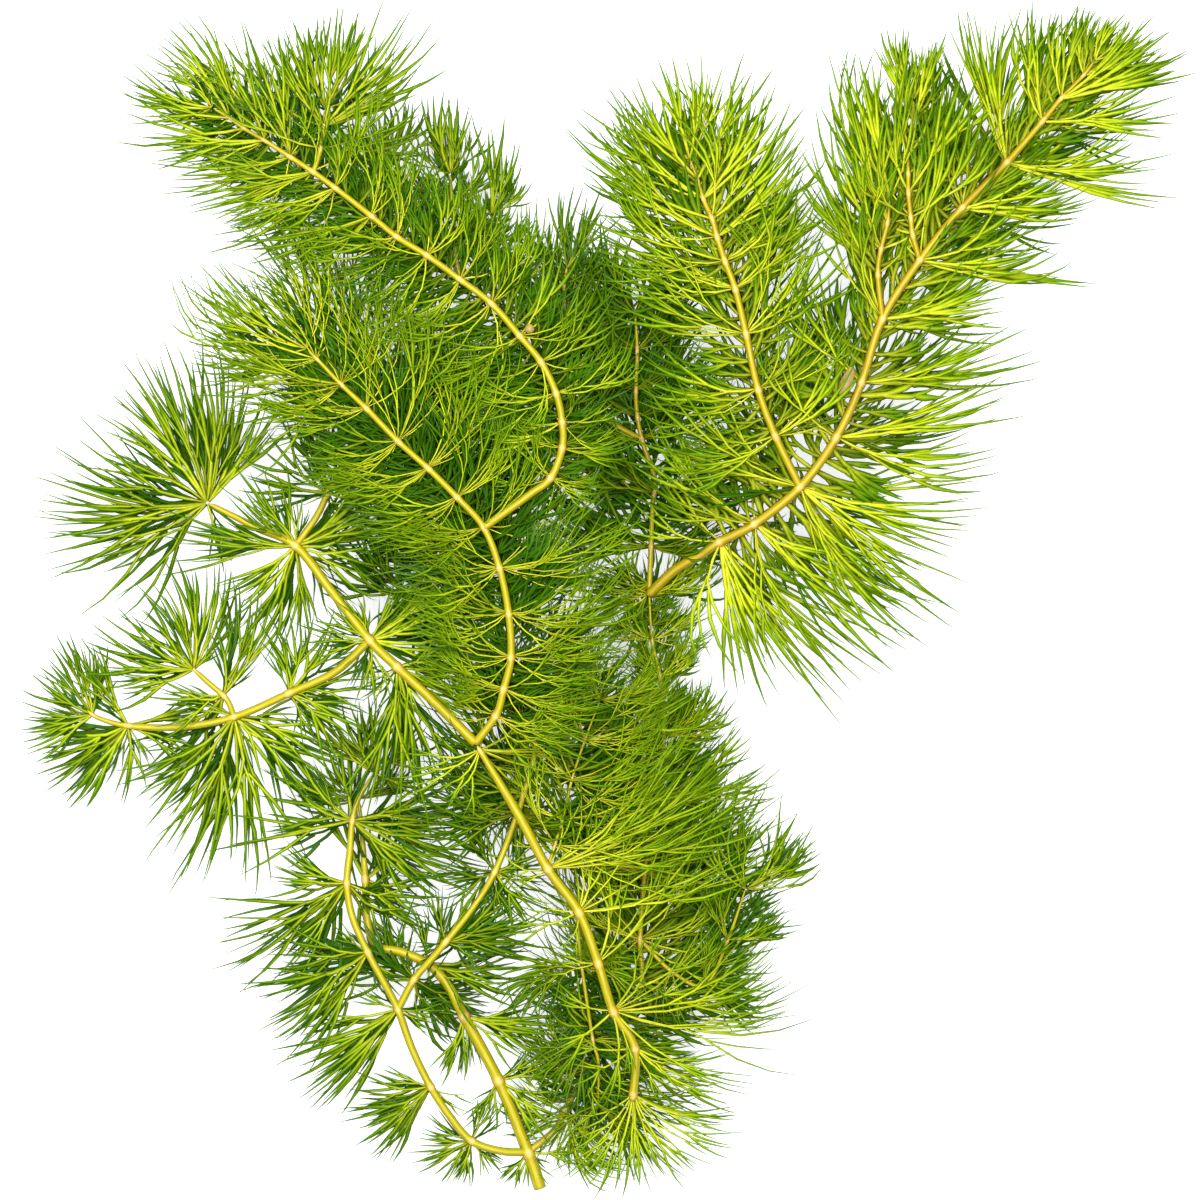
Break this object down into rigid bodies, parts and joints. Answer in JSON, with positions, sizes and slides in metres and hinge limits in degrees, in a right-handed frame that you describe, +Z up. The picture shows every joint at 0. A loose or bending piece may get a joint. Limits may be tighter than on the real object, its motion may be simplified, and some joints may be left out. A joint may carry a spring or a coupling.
{
  "type": "hornwort",
  "caption": "Cut bunch of hornwort laid flat: branching golden green stems with whorls of fine forked leaves.",
  "frame": {"origin": "middle of the bunch as seen from above, on the surface that it lies on", "axes": "+Z up from the surface, +Y from the cut end towards the growing tips, +X to the right seen from above"},
  "size_m": [0.197, 0.1992, 0.0468],
  "materials": {
    "leafy_stem": "fresh yellow green leaves on golden stems, moist sheen",
    "deep_leafy_stem": "darker green leaves and stems, moist sheen",
    "bud": "cream and orange brown, smooth"
  },
  "bodies": {
    "root": {"cut_base_stem": "deep_leafy_stem", "lower_left_branch": "leafy_stem", "crossing_branch": "leafy_stem", "bottom_branch": "deep_leafy_stem", "bush_twig_left": "leafy_stem", "bush_twig_right": "deep_leafy_stem", "lower_middle_twig": "deep_leafy_stem", "main_stem_lower": "leafy_stem", "main_stem_upper": "leafy_stem", "centre_branch": "leafy_stem", "top_left_branch": "leafy_stem", "top_left_twig": "leafy_stem", "right_outer_twig": "leafy_stem", "right_inner_twig": "leafy_stem", "right_branch": "leafy_stem", "right_inner_branch": "leafy_stem", "left_branch": "leafy_stem", "left_twig": "leafy_stem", "left_crossing_twig": "leafy_stem", "middle_branch": "deep_leafy_stem", "middle_twig": "deep_leafy_stem", "top_hidden_twig_middle": "deep_leafy_stem", "top_hidden_twig_left": "deep_leafy_stem", "top_hidden_twig_right": "deep_leafy_stem", "under_branch": "deep_leafy_stem", "seed_bud": "bud", "shoot_bud": "bud"}
  },
  "joints": []
}
